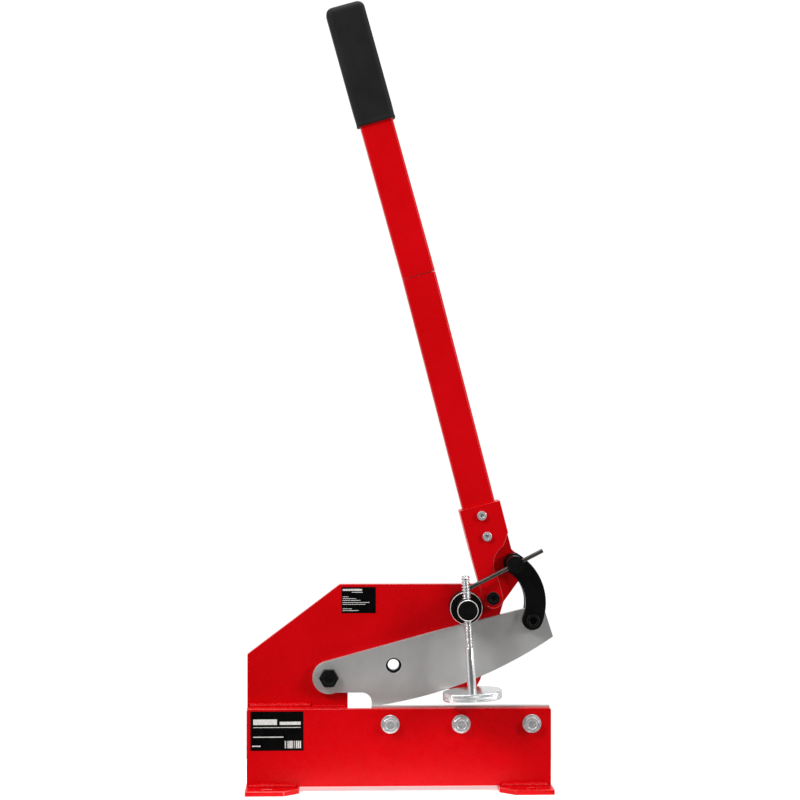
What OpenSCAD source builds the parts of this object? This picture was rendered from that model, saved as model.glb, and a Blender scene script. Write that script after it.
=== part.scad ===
// Bench lever shear for sheet metal: a welded steel base, a fixed lower blade and a pivoted
// upper blade that a long hand lever pulls down through a pair of curved links.
// +X runs along the blades, +Y to the back, +Z up; the blades meet in the plane Y = 0, and
// the origin is on the floor at the centre of the four bolt holes in the feet.

/* [Base] */
// Length of the front plate
base_length = 425; // [400:5:520]
// Thickness of the front plate
front_plate_t = 10; // [8:1:14]
// Height of the top of the front plate above the floor
base_top = 115; // [110:1:140]
// Thickness of the upright plate
upright_t = 12; // [10:1:16]
// Height of the upright plate above the floor
upright_h = 286; // [280:1:320]
// Run of the slanted corner of the upright, along X
slant_run = 130; // [60:5:140]
// Rise of the slanted corner of the upright, along Z
slant_rise = 98; // [60:1:120]
// Height of the limb of the upright below the throat
limb_h = 70; // [50:1:75]
// Thickness of the foot bars
foot_t = 7; // [5:1:12]
// Length of a foot along X
foot_len = 75; // [60:1:100]
// Depth of a foot along Y
foot_depth = 110; // [100:2:140]
// Diameter of the bolt holes in the feet
foot_hole_d = 14; // [9:1:16]
// Distance of a foot hole from the foot's outer end
foot_hole_inset = 30; // [20:1:36]
// Distance between a foot's front hole and rear hole
foot_hole_span = 84; // [76:2:92]

/* [Blades] */
// Length of the lower blade
blade_len = 250; // [220:5:300]
// Thickness of both blades
blade_t = 10; // [8:1:12]
// Height of the lower blade
lower_blade_h = 48; // [40:1:50]
// Height of the cutting edge above the front plate
edge_lift = 2.5; // [1:0.5:5]
// Distance between neighbouring bolts of the lower blade
blade_bolt_pitch = 99; // [80:1:105]
// Radius of the upper blade's convex cutting edge
edge_r = 590; // [450:10:800]
// Diameter of the bar-cutting hole in the upper blade
bar_hole_d = 22; // [14:1:26]
// Radius of the rounded tail of the upper blade
tail_r = 23; // [20:1:26]

/* [Lever] */
// Lean of the lever from the vertical, in degrees
lever_lean = 14.57; // [10:0.5:20]
// Width of the handle tube
tube_w = 47; // [40:1:50]
// Depth of the handle tube
tube_d = 25; // [20:1:30]
// Wall of the handle tube
tube_wall = 2; // [1.5:0.5:3]
// Distance of the seam of the two tubes from the lever's pivot
seam_u = 463; // [300:1:500]
// Length of the upper tube and grip above the seam
upper_len = 393; // [250:1:450]
// Length of the rubber grip
grip_len = 171; // [100:1:180]
// Wall of the rubber grip
grip_wall = 4.2; // [3:0.2:6]
// Slack of the tube joint, as a lean in degrees
joint_slack = 1.0; // [0:0.1:2]
// Thickness of the socket's front plate and back plate
cheek_t = 6; // [4:1:8]
// Radius of the lever's rounded end round its pivot
strip_r = 13.8; // [12:0.2:16]

/* [Links] */
// Thickness of a link
link_t = 10; // [8:1:12]
// Width of a link
link_w = 28.5; // [24:0.5:32]
// Radius of a link's centre line
link_r = 65; // [55:0.5:90]

/* [Hold-down] */
// Diameter of the knurled foot disc
disc_d = 82; // [60:2:84]
// Thickness of the foot disc
disc_t = 12; // [8:1:16]
// Diameter of the screw
screw_d = 12; // [10:1:14]
// Lean of the screw from the vertical, in degrees
screw_lean = 3.4; // [0:0.2:6]
// Diameter of the swivel stud
stud_d = 29; // [26:1:30]
// Radius of the boss that carries the stud
boss_r = 22.5; // [20:0.5:23]

/* [Hidden] */
$fn = 64;
play = 0.3;          // gap between faces that slide past each other
run = 0.05;          // radial running clearance of a pin in a bush
slip = 0.15;         // clearance of a tube in its socket
overlap = 1;         // how far a cutting tool runs past a face

half = base_length / 2;
blade_z = base_top + edge_lift;
blade_x1 = half - 1;
blade_x0 = blade_x1 - blade_len;
bolt_z = blade_z - lower_blade_h / 2;
throat_x = blade_x0 - 33;

// Layers from front to back
front_y0 = -blade_t - front_plate_t;
blade_y0 = play;
blade_y1 = play + blade_t;
upright_y0 = blade_y1 + play;
upright_y1 = upright_y0 + upright_t;
cheek_y1 = blade_y1 - tube_d - 2 * slip;
cheek_y0 = cheek_y1 - cheek_t;
bar_y = cheek_y0 - 10;
screw_y = -disc_d / 2 - 3;

// Pivots, as [x, z]
blade_pivot = [blade_x0 - 59.5, blade_z + 38.5];
lever_pivot = [blade_x1 - 80.1, blade_z + 151.1];
link_low = [blade_x1 - 24, blade_z + 119.5];
stud_at = [blade_x1 - 118, blade_z + 137.8];
bar_hole = blade_pivot + [90.9, 16.6];
insert_r = bar_hole_d / 2 + 2;
link_top_local = [41.0, 38.9];
link_top = lever_pivot + turned(link_top_local, lever_lean);

// Bolts
m8 = 8;
m12 = 12;
m16 = 16;
bush_wall = 3;

// Socket of the lever, in the lever's own axes: r to the right, u along the lever
tube_r = 13.5;
socket_l = tube_r - tube_w / 2 - 4.9;
socket_r = tube_r + tube_w / 2 + 6.4;
socket_top = 130;
tube_end = 78;
side_end = 84;
relief_r = 29.5;
ear_pivot_r = 17;
ear_tip_r = 14;
ear_tip = link_top_local + [4.5, -5.3];
socket_bolt_u = [86, 116];

// Hold-down, along the screw from the stud's axis
screw_up = 47;
disc_top = -112;

red = "#D2040C";
black = "#1A1A1A";
zinc = "#C9CCCF";
steel = "#A0A09E";

// [x, z] turned anticlockwise, seen from the front
function turned(p, a) = [p[0] * cos(a) - p[1] * sin(a), p[0] * sin(a) + p[1] * cos(a)];
function unit(v) = v / norm(v);
// Centre of the circle of radius r through p and q, on the left of the way from p to q
function chord_centre(p, q, r) =
    let (d = unit(q - p), half_chord = norm(q - p) / 2)
    (p + q) / 2 + sqrt(r * r - half_chord * half_chord) * [-d[1], d[0]];

// A flat outline in X and Z, made a plate from y0 to y1
module plate(y0, y1) {
    translate([0, y1, 0]) rotate([90, 0, 0]) linear_extrude(y1 - y0) children();
}

// A round bar along Y at [x, z]
module round_y(at, r, y0, y1, sides = 64) {
    translate([at[0], y0, at[1]]) rotate([-90, 0, 0]) cylinder(r = r, h = y1 - y0, $fn = sides);
}

// A hexagon along Y, by its width across flats
module hex_y(at, flats, y0, y1) {
    round_y(at, flats / sqrt(3), y0, y1, 6);
}

module ring_y(at, r_out, r_in, y0, y1) {
    difference() {
        round_y(at, r_out, y0, y1);
        round_y(at, r_in, y0 - overlap, y1 + overlap);
    }
}

module nut_y(at, flats, r_in, y0, y1) {
    difference() {
        intersection() {
            hex_y(at, flats, y0, y1);
            round_y(at, flats * 0.56, y0, y1);
        }
        round_y(at, r_in, y0 - overlap, y1 + overlap);
    }
}

// Cap head with a hexagon socket in its front face
module cap_head(at, r, flats, y0, y1) {
    difference() {
        round_y(at, r, y0, y1);
        hex_y(at, flats, y0 - overlap, (y0 + y1) / 2);
    }
}

// Rectangle with round corners, centred
module round_rect(w, h, r) {
    square([w - 2 * r, h], center = true);
    square([w, h - 2 * r], center = true);
    for (x = [-1, 1], z = [-1, 1]) translate([x * (w / 2 - r), z * (h / 2 - r)]) circle(r = r);
}

module at_lever() {
    translate([lever_pivot[0], 0, lever_pivot[1]]) rotate([0, -lever_lean, 0]) children();
}

module at_seam() {
    at_lever() translate([tube_r, tube_y(), seam_u]) rotate([0, -joint_slack, 0]) children();
}

module at_screw() {
    translate([stud_at[0], screw_y, stud_at[1]]) rotate([0, -screw_lean, 0]) children();
}

function tube_y() = cheek_y1 + slip + tube_d / 2;

// ---- Base ----

module front_plate() {
    color(red) difference() {
        plate(front_y0, -blade_t) translate([0, (base_top + foot_t) / 2])
            round_rect(base_length, base_top - foot_t, 3);
        for (i = [-1:1]) round_y([bolt_x(i), bolt_z], m12 / 2 + 0.5, front_y0 - 1, 0);
    }
}

function bolt_x(i) = (blade_x0 + blade_x1) / 2 + i * blade_bolt_pitch;

arm_low = blade_z + 20.5;
arm_right = lever_pivot[0] - 15.9;

module upright_plate() {
    color(red) difference() {
        plate(upright_y0, upright_y1) polygon([
            [-half, foot_t], [half, foot_t], [half, limb_h], [throat_x, limb_h],
            [throat_x, arm_low], [arm_right - 7, arm_low], [arm_right, arm_low + 13],
            [arm_right + 40.5, upright_h], [slant_run - half, upright_h],
            [-half, upright_h - slant_rise]
        ]);
        round_y(blade_pivot, m16 / 2 + 0.2, upright_y0 - overlap, upright_y1 + overlap);
        round_y(lever_pivot, m12 / 2 + 0.2, upright_y0 - overlap, upright_y1 + overlap);
        round_y(stud_at, m16 / 2 + run, upright_y0 - overlap, upright_y1 + overlap);
        round_y(bar_hole, insert_r, upright_y0 - overlap, upright_y1 + overlap);
    }
}

// Hardened ring pressed in the upright, which a bar is sheared against
module bar_hole_insert() {
    color(black) ring_y(bar_hole, insert_r, bar_hole_d / 2 - 3, upright_y0, upright_y1);
}

// Fills the gap between the front plate and the upright, left of the throat
module spacer_block() {
    color(red) translate([-half, -blade_t, foot_t])
        cube([throat_x + half, upright_y0 + blade_t, base_top - foot_t]);
}

// Ties the front plate to the limb of the upright at the right end, below the blades
module tie_block() {
    color(red) translate([half - 32, -blade_t, foot_t])
        cube([32, upright_y0 + blade_t, limb_h - foot_t - 6]);
}

// A foot with its outer end at the origin, running towards +X
module foot() {
    corner = 21;
    color(red) difference() {
        linear_extrude(foot_t) polygon([
            [0, -foot_depth / 2], [foot_len - corner, -foot_depth / 2],
            [foot_len, corner - foot_depth / 2], [foot_len, foot_depth / 2 - corner],
            [foot_len - corner, foot_depth / 2], [0, foot_depth / 2]
        ]);
        for (y = [-1, 1]) translate([foot_hole_inset, y * foot_hole_span / 2, -overlap])
            cylinder(d = foot_hole_d, h = foot_t + 2 * overlap);
    }
}

foot_proud = 1.5;
foot_out = half + foot_proud;

module left_foot() translate([-foot_out, 0, 0]) foot();

module right_foot() translate([foot_out, 0, 0]) mirror([1, 0, 0]) foot();

// One fillet weld of triangular section along X, in the corner between two faces
module weld(x0, x1, y, z, side) {
    leg = 4.5;
    translate([x0, y, z]) rotate([90, 0, 90]) linear_extrude(x1 - x0)
        polygon([[0, 0], [side * leg, 0], [0, leg]]);
}

module weld_beads() {
    color(red) {
        weld(-half, throat_x, upright_y0, base_top, -1);
        weld(-half, foot_len - foot_out, front_y0, foot_t, -1);
        weld(foot_out - foot_len, half, front_y0, foot_t, -1);
        weld(-half, foot_len - foot_out, upright_y1, foot_t, 1);
        weld(foot_out - foot_len, half, upright_y1, foot_t, 1);
    }
}

module base_label() {
    color(black) plate(front_y0 - 0.3, front_y0)
        translate([5.5 - half, base_top - 57.4]) square([73.5, 54.4]);
}

module upright_label() {
    color(black) plate(upright_y0 - 0.25, upright_y0)
        translate([slant_run - half + 2.5, upright_h - 40.5]) square([48, 36.7]);
}

// ---- Lower blade ----

module lower_blade() {
    color(steel) difference() {
        plate(-blade_t, 0) translate([blade_x0, blade_z - lower_blade_h])
            square([blade_len, lower_blade_h]);
        for (i = [-1:1]) round_y([bolt_x(i), bolt_z], m12 / 2, -blade_t - 1, -1);
    }
}

// Flanged hexagon bolts from the front, screwed into the lower blade
module blade_bolts() {
    flange_t = 2.5;
    head_t = 10;
    for (i = [-1:1]) {
        at = [bolt_x(i), bolt_z];
        color(zinc) union() {
            round_y(at, 13, front_y0 - flange_t, front_y0);
            hex_y(at, 18, front_y0 - head_t, front_y0 - flange_t);
            round_y(at, m12 / 2, front_y0, -1.5);
        }
    }
}

// ---- Blade pivot ----

module blade_pivot_bolt() {
    color(black) union() {
        hex_y(blade_pivot, 24, -10, 0);
        round_y(blade_pivot, m16 / 2, 0, upright_y1 + 19);
    }
}

module blade_pivot_bush() {
    color(steel) ring_y(blade_pivot, m16 / 2 + bush_wall, m16 / 2 + run, 0, upright_y0);
}

module blade_pivot_washer() {
    color(zinc) ring_y(blade_pivot, 15, m16 / 2 + run, upright_y1, upright_y1 + 3);
}

module blade_pivot_nut() {
    color(black) nut_y(blade_pivot, 24, m16 / 2, upright_y1 + 3, upright_y1 + 16);
}

// ---- Upper blade ----

blade_slope = 14.7;
tip = [blade_x1 + 6.1, blade_z + 95.2];
heel = [blade_x0 + 0.7, blade_z - 2];
tail_low = blade_z + 17.5;
heel_fillet = 14;
end_slant = 0.323;
tail_top = blade_pivot + turned([0, tail_r - 0.05], blade_slope);
top_slope = tan(blade_slope);
corner_z = (tail_top[1] + (tip[0] + tip[1] * end_slant - tail_top[0]) * top_slope)
    / (1 + end_slant * top_slope);
top_corner = [tip[0] - (corner_z - tip[1]) * end_slant, corner_z];
crown = turned([0, 1.5], blade_slope);

module upper_blade_outline() {
    difference() {
        intersection() {
            polygon([
                blade_pivot, tail_top, (tail_top + top_corner) / 2 + crown, top_corner,
                tip + 20 * [end_slant, -1], (heel + tip) / 2 + [20, -40], heel - [0, 10],
                [blade_pivot[0], heel[1]]
            ]);
            translate(chord_centre(heel, tip, edge_r)) circle(r = edge_r, $fn = 360);
        }
        heel_notch();
    }
}

// Everything left of the heel and below the tail, with a round inner corner
module heel_notch() {
    deep = 100;
    translate([heel[0] - deep, tail_low - deep]) square([deep - heel_fillet, deep]);
    translate([heel[0] - deep, tail_low - deep]) square([deep, deep - heel_fillet]);
    translate([heel[0] - heel_fillet, tail_low - heel_fillet]) circle(r = heel_fillet);
}

module upper_blade() {
    color(steel) difference() {
        union() {
            plate(blade_y0, blade_y1) upper_blade_outline();
            round_y(blade_pivot, tail_r, blade_y0, blade_y1);
        }
        round_y(blade_pivot, m16 / 2 + bush_wall + run, blade_y0 - 1, blade_y1 + 1);
        round_y(bar_hole, bar_hole_d / 2, blade_y0 - 1, blade_y1 + 1);
        round_y(link_low, m12 / 2 + bush_wall, blade_y0 - 1, blade_y1 + 1);
    }
}

// Bush in the upper blade's eye, flush with both faces
module link_pin_bush() {
    color(steel) ring_y(link_low, m12 / 2 + bush_wall, m12 / 2 + run, blade_y0, blade_y1);
}

// ---- Lever, in its own axes ----

module lever_pivot_bolt() {
    color(black) union() {
        cap_head(lever_pivot, 9, 8, cheek_y0 - 5 - play, cheek_y0 - play);
        round_y(lever_pivot, m12 / 2, cheek_y0 - play, upright_y1 + 14);
    }
}

module lever_pivot_bush() {
    color(steel) ring_y(lever_pivot, m12 / 2 + bush_wall, m12 / 2 + run,
        cheek_y0 - play, upright_y0);
}

module lever_pivot_washer() {
    color(zinc) ring_y(lever_pivot, 12, m12 / 2 + run, upright_y1, upright_y1 + 2.5);
}

module lever_pivot_nut() {
    color(black) nut_y(lever_pivot, 18, m12 / 2, upright_y1 + 2.5, upright_y1 + 12.5);
}

module lever_bores(y0, y1) {
    round_y([0, 0], m12 / 2 + bush_wall + run, y0 - 1, y1 + 1);
    round_y(link_top_local, m16 / 2 + run, y0 - 1, y1 + 1);
    for (u = socket_bolt_u) round_y([tube_r, u], m8 / 2, y0 - 1, y1 + 1);
}

module tube_slot() {
    translate([tube_r - tube_w / 2 - slip, tube_end]) square([tube_w + 2 * slip, 100]);
}

// Straight strip from the pivot up to the full-width socket
module strip_outline() {
    difference() {
        union() {
            circle(r = strip_r);
            polygon([
                [-strip_r, 0], [strip_r, 0], [strip_r, 40], [socket_r, side_end],
                [socket_r, socket_top], [socket_l, socket_top], [socket_l, 60]
            ]);
        }
        translate(link_top_local) circle(r = relief_r);
    }
}

module ear_outline() {
    circle(r = ear_pivot_r);
    translate(ear_tip) circle(r = ear_tip_r);
    ear_dir = unit(ear_tip);
    slew = asin((ear_pivot_r - ear_tip_r) / norm(ear_tip));
    low = turned(ear_dir, slew - 90);
    polygon([
        ear_pivot_r * low, ear_tip + ear_tip_r * low, ear_tip + [ear_tip_r, 2],
        [socket_r, 58], [socket_r, socket_top], [socket_l, socket_top], [socket_l, 60],
        [-strip_r, 0]
    ]);
}

module lever_front_plate() {
    color(red) at_lever() difference() {
        plate(cheek_y0, cheek_y1) strip_outline();
        lever_bores(cheek_y0, cheek_y1);
    }
}

// Thick bar behind the front plate, forked at the top round the tube
module lever_core_plate() {
    color(red) at_lever() difference() {
        plate(cheek_y1, blade_y0) difference() {
            strip_outline();
            tube_slot();
        }
        lever_bores(cheek_y1, blade_y0);
    }
}

// Plate that carries the links, in the plane of the upper blade, forked round the tube
module lever_ear_plate() {
    color(red) at_lever() difference() {
        plate(blade_y0, blade_y1) difference() {
            ear_outline();
            tube_slot();
        }
        lever_bores(blade_y0, blade_y1);
    }
}

module lever_back_plate() {
    color(red) at_lever() difference() {
        plate(blade_y1, blade_y1 + cheek_t) translate([socket_l, side_end - 14])
            polygon([
                [0, 0], [socket_r - socket_l - 24, 0], [socket_r - socket_l, 14],
                [socket_r - socket_l, socket_top - side_end + 14], [0, socket_top - side_end + 14]
            ]);
        for (u = socket_bolt_u) round_y([tube_r, u], m8 / 2, blade_y1 - 1, blade_y1 + 20);
    }
}

module socket_bolts() {
    for (u = socket_bolt_u) color(zinc) at_lever() union() {
        cap_head([tube_r, u], 6.5, 6, cheek_y0 - 5, cheek_y0);
        round_y([tube_r, u], m8 / 2, cheek_y0, blade_y1 + cheek_t + 9);
    }
}

module socket_nuts() {
    for (u = socket_bolt_u) color(zinc) at_lever()
        nut_y([tube_r, u], 13, m8 / 2, blade_y1 + cheek_t, blade_y1 + cheek_t + 6.5);
}

// ---- Handle ----

module tube(len, w, d, wall, corner) {
    linear_extrude(len) difference() {
        round_rect(w, d, corner);
        round_rect(w - 2 * wall, d - 2 * wall, corner - wall);
    }
}

module lower_tube() {
    color(red) at_lever() difference() {
        translate([tube_r, tube_y(), tube_end])
            tube(seam_u - tube_end, tube_w, tube_d, tube_wall, 4);
        for (u = socket_bolt_u) round_y([tube_r, u], m8 / 2, -40, 40);
    }
}

joiner_len = 120;

// Inner tube that joins the two handle tubes
module tube_joiner() {
    fit_w = tube_w - 2 * tube_wall - 2 * joiner_slack;
    fit_d = tube_d - 2 * tube_wall - 2 * joiner_slack;
    color(steel) at_lever() translate([tube_r, tube_y(), seam_u - joiner_len / 2])
        tube(joiner_len, fit_w, fit_d, 2, 2.5);
}

joiner_slack = 0.3 + sin(joint_slack) * joiner_len / 2;

module upper_tube() {
    color(red) at_seam() translate([0, 0, 0.8])
        tube(upper_len - grip_wall - 0.8, tube_w, tube_d, tube_wall, 4);
}

// Plastic plug in the tube's end, under the grip
module tube_end_plug() {
    color(black) at_seam() translate([0, 0, upper_len - grip_wall - 15]) linear_extrude(15)
        round_rect(tube_w - 2 * tube_wall, tube_d - 2 * tube_wall, 2);
}

module grip() {
    color(black) at_seam() difference() {
        translate([0, 0, upper_len - grip_len]) linear_extrude(grip_len)
            round_rect(tube_w + 2 * grip_wall, tube_d + 2 * grip_wall, 8);
        translate([0, 0, upper_len - grip_len - 1]) linear_extrude(grip_len + 1 - grip_wall)
            round_rect(tube_w, tube_d, 4);
    }
}

// ---- Links ----

// C-shaped link outline between the two pins, bulging to the right
module link_outline() {
    centre = chord_centre(link_low, link_top, link_r);
    eye_r = link_w / 2 + 0.05;
    from_top = link_top - centre;
    from_low = link_low - centre;
    mid = unit((from_top + from_low) / 2);
    difference() {
        union() {
            intersection() {
                translate(centre) circle(r = link_r + link_w / 2, $fn = 128);
                polygon([
                    centre, centre + 2 * from_low, centre + 3 * link_r * mid,
                    centre + 2 * from_top
                ]);
            }
            translate(link_top) circle(r = eye_r);
            translate(link_low) circle(r = eye_r);
        }
        difference() {
            translate(centre) circle(r = link_r - link_w / 2, $fn = 128);
            translate(link_top) circle(r = eye_r);
            translate(link_low) circle(r = eye_r);
        }
    }
}

module link(y0) {
    difference() {
        plate(y0, y0 + link_t) link_outline();
        round_y(link_top, m16 / 2 + run, y0 - 1, y0 + link_t + 1);
        round_y(link_low, m12 / 2, y0 - 1, y0 + link_t + 1);
    }
}

module front_link() color(black) link(-link_t);

module rear_link() color(black) link(upright_y0);

// The low pin is split at the blade: each half ends just clear of the blade's bush
module link_low_screw() {
    color(black) union() {
        cap_head(link_low, 9, 10, -link_t - 12, -link_t);
        round_y(link_low, m12 / 2, -link_t, 0);
    }
}

module link_low_nut() {
    back = upright_y0 + link_t;
    color(black) union() {
        hex_y(link_low, 18, back, back + 10);
        round_y(link_low, m12 / 2, upright_y0, back);
    }
}

// ---- Lock screw ----

tommy_d = 6;
tommy_angle = 27;
head_front = bar_y - 6.5;

module lock_screw() {
    color(black) difference() {
        union() {
            round_y(link_top, 12, head_front, -link_t - play);
            round_y(link_top, m16 / 2, -link_t - play, upright_y0 + link_t + play + 13);
        }
        tommy_at() rotate([0, 90, 0]) cylinder(d = tommy_d + 2 * run, h = 60, center = true);
    }
}

module lock_nut() {
    color(black) nut_y(link_top, 24, m16 / 2 + run,
        upright_y0 + link_t, upright_y0 + link_t + 13);
}

module tommy_at() {
    translate([link_top[0], bar_y, link_top[1]]) rotate([0, -tommy_angle, 0]) children();
}

tommy_left = 77;
tommy_right = 43;

module tommy_bar() {
    color(steel) tommy_at() translate([-tommy_left, 0, 0]) rotate([0, 90, 0])
        cylinder(d = tommy_d, h = tommy_left + tommy_right);
}

// ---- Hold-down ----

boss_y0 = -24;
stud_y0 = screw_y - 14;

module hold_down_boss() {
    color(black) ring_y(stud_at, boss_r, stud_d / 2 + run, boss_y0, upright_y0);
}

module hold_down_stud() {
    color(black) difference() {
        union() {
            round_y(stud_at, stud_d / 2, stud_y0, upright_y0 - play);
            round_y(stud_at, m16 / 2, upright_y0 - play, upright_y1 + 20);
        }
        at_screw() cylinder(d = screw_d + 2 * run, h = 60, center = true);
    }
}

module stud_washer() {
    color(zinc) ring_y(stud_at, 15, m16 / 2 + run, upright_y1 + play, upright_y1 + play + 3);
}

module stud_nut() {
    color(black) nut_y(stud_at, 24, m16 / 2, upright_y1 + play + 3, upright_y1 + play + 16);
}

spigot_r = 4;

// Threaded at the top and plain below, with a spigot that the disc turns on
module hold_down_screw() {
    color(zinc) at_screw() union() {
        translate([0, 0, disc_top]) cylinder(d = screw_d, h = screw_up - disc_top);
        translate([0, 0, disc_top - disc_t]) cylinder(r = spigot_r, h = disc_t + 1);
    }
}

module hold_down_disc() {
    color(zinc) at_screw() translate([0, 0, disc_top - disc_t]) difference() {
        cylinder(d = disc_d, h = disc_t - run, $fn = 128);
        translate([0, 0, -overlap]) cylinder(r = spigot_r + run, h = disc_t + 2 * overlap);
    }
}

front_plate();
upright_plate();
bar_hole_insert();
spacer_block();
tie_block();
left_foot();
right_foot();
weld_beads();
lower_blade();
blade_bolts();
blade_pivot_bolt();
blade_pivot_bush();
blade_pivot_washer();
blade_pivot_nut();
lever_pivot_bolt();
lever_pivot_bush();
lever_pivot_washer();
lever_pivot_nut();
hold_down_boss();
base_label();
upright_label();
upper_blade();
link_pin_bush();
lever_ear_plate();
lever_core_plate();
lever_front_plate();
lever_back_plate();
lower_tube();
tube_joiner();
upper_tube();
tube_end_plug();
grip();
socket_bolts();
socket_nuts();
front_link();
rear_link();
link_low_screw();
link_low_nut();
lock_screw();
lock_nut();
tommy_bar();
hold_down_stud();
stud_washer();
stud_nut();
hold_down_screw();
hold_down_disc();
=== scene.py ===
# Bench lever shear: a red welded base, a ground pair of blades, a long two-piece lever that
# pulls the upper blade down through two curved links, and a screw hold-down for the sheet.
import math

import bmesh
import bpy
from mathutils import Matrix, Vector


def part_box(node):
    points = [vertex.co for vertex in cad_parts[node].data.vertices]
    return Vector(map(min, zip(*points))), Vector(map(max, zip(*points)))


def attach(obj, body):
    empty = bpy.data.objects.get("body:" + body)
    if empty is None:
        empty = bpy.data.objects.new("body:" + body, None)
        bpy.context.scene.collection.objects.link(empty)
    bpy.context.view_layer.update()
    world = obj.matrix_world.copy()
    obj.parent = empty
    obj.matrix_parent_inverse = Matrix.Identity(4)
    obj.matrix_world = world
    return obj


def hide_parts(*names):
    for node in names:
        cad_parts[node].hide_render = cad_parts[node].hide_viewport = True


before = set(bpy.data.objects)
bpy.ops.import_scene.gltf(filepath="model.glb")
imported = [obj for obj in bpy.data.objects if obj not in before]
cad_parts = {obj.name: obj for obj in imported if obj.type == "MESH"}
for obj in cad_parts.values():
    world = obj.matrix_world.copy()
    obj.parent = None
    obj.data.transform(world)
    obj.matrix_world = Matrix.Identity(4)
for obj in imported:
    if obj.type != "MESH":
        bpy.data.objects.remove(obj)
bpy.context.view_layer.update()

MM = 0.001

# ---- Helpers for materials and node trees ----


def linear(hex_colour):
    """An sRGB hex colour as linear RGBA."""
    channels = [int(hex_colour[i : i + 2], 16) / 255 for i in (1, 3, 5)]
    return [c / 12.92 if c <= 0.04045 else ((c + 0.055) / 1.055) ** 2.4 for c in channels] + [1.0]


def add_node(tree, kind, settings=None, links=None):
    """Adds a node with its settings (properties or unlinked inputs) and its linked inputs."""
    made = tree.nodes.new(kind)
    for key, value in (settings or {}).items():
        if isinstance(key, str) and hasattr(made, key):
            setattr(made, key, value)
        else:
            made.inputs[key].default_value = value
    for key, source in (links or {}).items():
        tree.links.new(source, made.inputs[key])
    return made


def maths(tree, operation, *values):
    """The result of a maths node. Each value is a number or another node's output."""
    made = add_node(tree, "ShaderNodeMath", {"operation": operation})
    for socket, value in zip(made.inputs, values):
        if isinstance(value, (int, float)):
            socket.default_value = value
        else:
            tree.links.new(value, socket)
    return made.outputs[0]


def remapped(tree, value, source, target):
    """A value mapped from one range to another and held inside it."""
    ends = {"From Min": source[0], "From Max": source[1], "To Min": target[0], "To Max": target[1]}
    return add_node(tree, "ShaderNodeMapRange", ends, {"Value": value}).outputs["Result"]


def new_material(name, **shader):
    """A material with its Principled shader set, and the object coordinates that patterns read."""
    made = bpy.data.materials.new(name)
    made.use_nodes = True
    tree = made.node_tree
    bsdf = tree.nodes["Principled BSDF"]
    for key, value in shader.items():
        bsdf.inputs[key.replace("_", " ")].default_value = value
    place = add_node(tree, "ShaderNodeTexCoord").outputs["Object"]
    return made, tree, bsdf, place


def mottle(tree, place, size, low, high, socket, stretch=(1, 1, 1), detail=3.0):
    """Noise with features of `size` metres, mapped from low to high into a shader socket."""
    spread = add_node(tree, "ShaderNodeMapping", {"Scale": stretch}, {"Vector": place})
    noise = add_node(
        tree,
        "ShaderNodeTexNoise",
        {"Scale": 1 / size, "Detail": detail},
        {"Vector": spread.outputs[0]},
    )
    if isinstance(low, str):
        ramp = add_node(tree, "ShaderNodeValToRGB", None, {"Fac": noise.outputs["Fac"]})
        for stop, (at, colour) in enumerate(((0.35, low), (0.65, high))):
            ramp.color_ramp.elements[stop].position = at
            ramp.color_ramp.elements[stop].color = linear(colour)
        tree.links.new(ramp.outputs["Color"], socket)
    else:
        level = remapped(tree, noise.outputs["Fac"], (0.3, 0.7), (low, high))
        tree.links.new(level, socket)
    return noise


def relief(tree, bsdf, height, depth, strength=1.0):
    """A height pattern (0 to 1) raised by `depth` metres."""
    bump = add_node(
        tree, "ShaderNodeBump", {"Strength": strength, "Distance": depth}, {"Height": height}
    )
    tree.links.new(bump.outputs["Normal"], bsdf.inputs["Normal"])
    return bump


# ---- Helpers for pieces ----


def finished(obj, node, body, material=None, edges=None):
    """Gives a finished piece its materials and its body, and hides the CAD nodes it stands for."""
    slots = obj.data.materials
    if len(slots) == 2 and material:
        slots[0], slots[1] = material, edges or material
    elif material:
        slots.clear()
        slots.append(material)
    nodes = [node] if isinstance(node, str) else node
    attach(obj, body)
    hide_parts(*nodes)
    return obj


def mesh_object(name, bm, sharp=35):
    """Makes an object of a closed bmesh, smooth but for edges sharper than `sharp` degrees."""
    bmesh.ops.recalc_face_normals(bm, faces=bm.faces)
    mesh = bpy.data.meshes.new(name)
    bm.to_mesh(mesh)
    bm.free()
    mesh.polygons.foreach_set("use_smooth", [True] * len(mesh.polygons))
    mesh.set_sharp_from_angle(angle=math.radians(sharp))
    obj = bpy.data.objects.new(name, mesh)
    bpy.context.scene.collection.objects.link(obj)
    return obj


def baked(obj):
    """Applies an object's modifiers, so that a plain mesh is left."""
    graph = bpy.context.evaluated_depsgraph_get()
    mesh = bpy.data.meshes.new_from_object(obj.evaluated_get(graph), depsgraph=graph)
    mesh.name = obj.name
    obj.modifiers.clear()
    obj.data = mesh
    return obj


def merged_copy(node):
    """A bmesh copy of a CAD node with the triangles of its flat faces merged."""
    bm = bmesh.new()
    bm.from_mesh(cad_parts[node].data)
    bmesh.ops.remove_doubles(bm, verts=bm.verts, dist=2e-6)
    bmesh.ops.dissolve_limit(
        bm,
        angle_limit=math.radians(0.4),
        verts=bm.verts,
        edges=bm.edges,
        use_dissolve_boundaries=False,
    )
    return bm


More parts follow.
